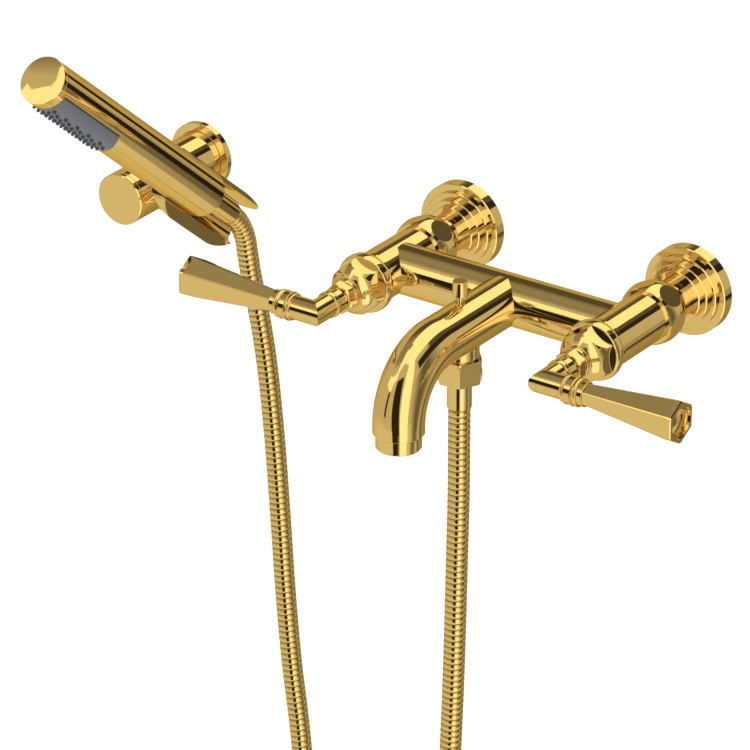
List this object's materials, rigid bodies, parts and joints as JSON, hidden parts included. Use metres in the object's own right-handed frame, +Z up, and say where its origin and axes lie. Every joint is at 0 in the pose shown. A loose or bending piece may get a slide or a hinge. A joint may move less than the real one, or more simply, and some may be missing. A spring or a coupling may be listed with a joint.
{
  "type": "wall mounted bath filler with handset",
  "caption": "Wall mounted bath filler: cross bar with lever valves, bent spout with lift diverter, hose, and a stick handset in a swivelling wall bracket.",
  "frame": {"origin": "on the wall plane, midway between the two inlet axes", "axes": "+X right as seen by the user, +Y into the wall, +Z up"},
  "size_m": [0.5277, 0.269, 0.897],
  "materials": {
    "polished_gold": "polished",
    "spiral_hose": "polished",
    "plain_steel": "satin",
    "black_rubber": "matte",
    "white_ceramic": "satin",
    "white_plastic": "satin",
    "grey_silicone": "matte"
  },
  "bodies": {
    "mixer": {"cross_bar": "polished_gold", "spout": "polished_gold", "hot_valve_body": "polished_gold", "cold_valve_body": "polished_gold", "hot_escutcheon": "polished_gold", "cold_escutcheon": "polished_gold", "hot_union_tail": "polished_gold", "cold_union_tail": "polished_gold", "hot_union_nut": "polished_gold", "cold_union_nut": "polished_gold", "union_washers": "black_rubber", "hot_bonnet": "polished_gold", "cold_bonnet": "polished_gold", "hot_cartridge": "plain_steel", "cold_cartridge": "plain_steel", "fixed_discs": "white_ceramic", "hot_gland_nut": "polished_gold", "cold_gland_nut": "polished_gold", "aerator_housing": "polished_gold", "aerator_insert": "white_plastic", "aerator_seal": "black_rubber", "diverter_sleeve": "plain_steel", "diverter_bush": "polished_gold", "outlet_nipple": "polished_gold", "check_valve": "white_plastic", "hose_nut": "polished_gold", "hose_washer": "black_rubber", "hose_sleeve": "polished_gold", "hose": "spiral_hose", "bracket_plate": "plain_steel", "bracket_screws": "plain_steel", "bracket_flange": "polished_gold", "bracket_arm": "polished_gold", "clamp_stud": "plain_steel", "swivel_washer": "black_rubber"},
    "hot_handle": {"hot_moving_disc": "white_ceramic", "hot_spindle": "plain_steel", "hot_elbow": "polished_gold", "hot_collar": "polished_gold", "hot_lever": "polished_gold", "hot_end_button": "polished_gold", "hot_set_screw": "plain_steel"},
    "cold_handle": {"cold_moving_disc": "white_ceramic", "cold_spindle": "plain_steel", "cold_elbow": "polished_gold", "cold_collar": "polished_gold", "cold_lever": "polished_gold", "cold_end_button": "polished_gold", "cold_set_screw": "plain_steel"},
    "diverter": {"diverter_spool": "plain_steel", "diverter_knob": "polished_gold"},
    "swivel": {"cradle": "polished_gold"},
    "clamp": {"clamp_knob": "polished_gold"},
    "handset": {"handset_barrel": "polished_gold", "handset_cap": "polished_gold", "spray_face": "grey_silicone", "handset_inlet": "plain_steel", "handset_cone": "polished_gold"}
  },
  "joints": [
    {"name": "hot_lever_turn", "type": "hinge", "parent": "mixer", "child": "hot_handle", "pos_m": [-0.09, -0.176, 0], "axis": [0, -1, 0], "range_deg": [0, 90]},
    {"name": "cold_lever_turn", "type": "hinge", "parent": "mixer", "child": "cold_handle", "pos_m": [0.09, -0.176, 0], "axis": [0, 1, 0], "range_deg": [0, 90]},
    {"name": "diverter_lift", "type": "slide", "parent": "mixer", "child": "diverter", "axis": [0, 0, 1], "range_m": [0, 0.008]},
    {"name": "cradle_swivel", "type": "hinge", "parent": "mixer", "child": "swivel", "pos_m": [-0.3115, -0.058, -0.0044], "axis": [0, 1, 0], "range_deg": [-30, 30]},
    {"name": "clamp_turn", "type": "hinge", "parent": "mixer", "child": "clamp", "pos_m": [-0.3115, -0.084, -0.0044], "axis": [0, -1, 0], "range_deg": [0, 180]},
    {"name": "handset_lift", "type": "slide", "parent": "swivel", "child": "handset", "axis": [0, -0.7694, 0.6388], "range_m": [0, 0.06], "deforming": ["hose"]}
  ]
}
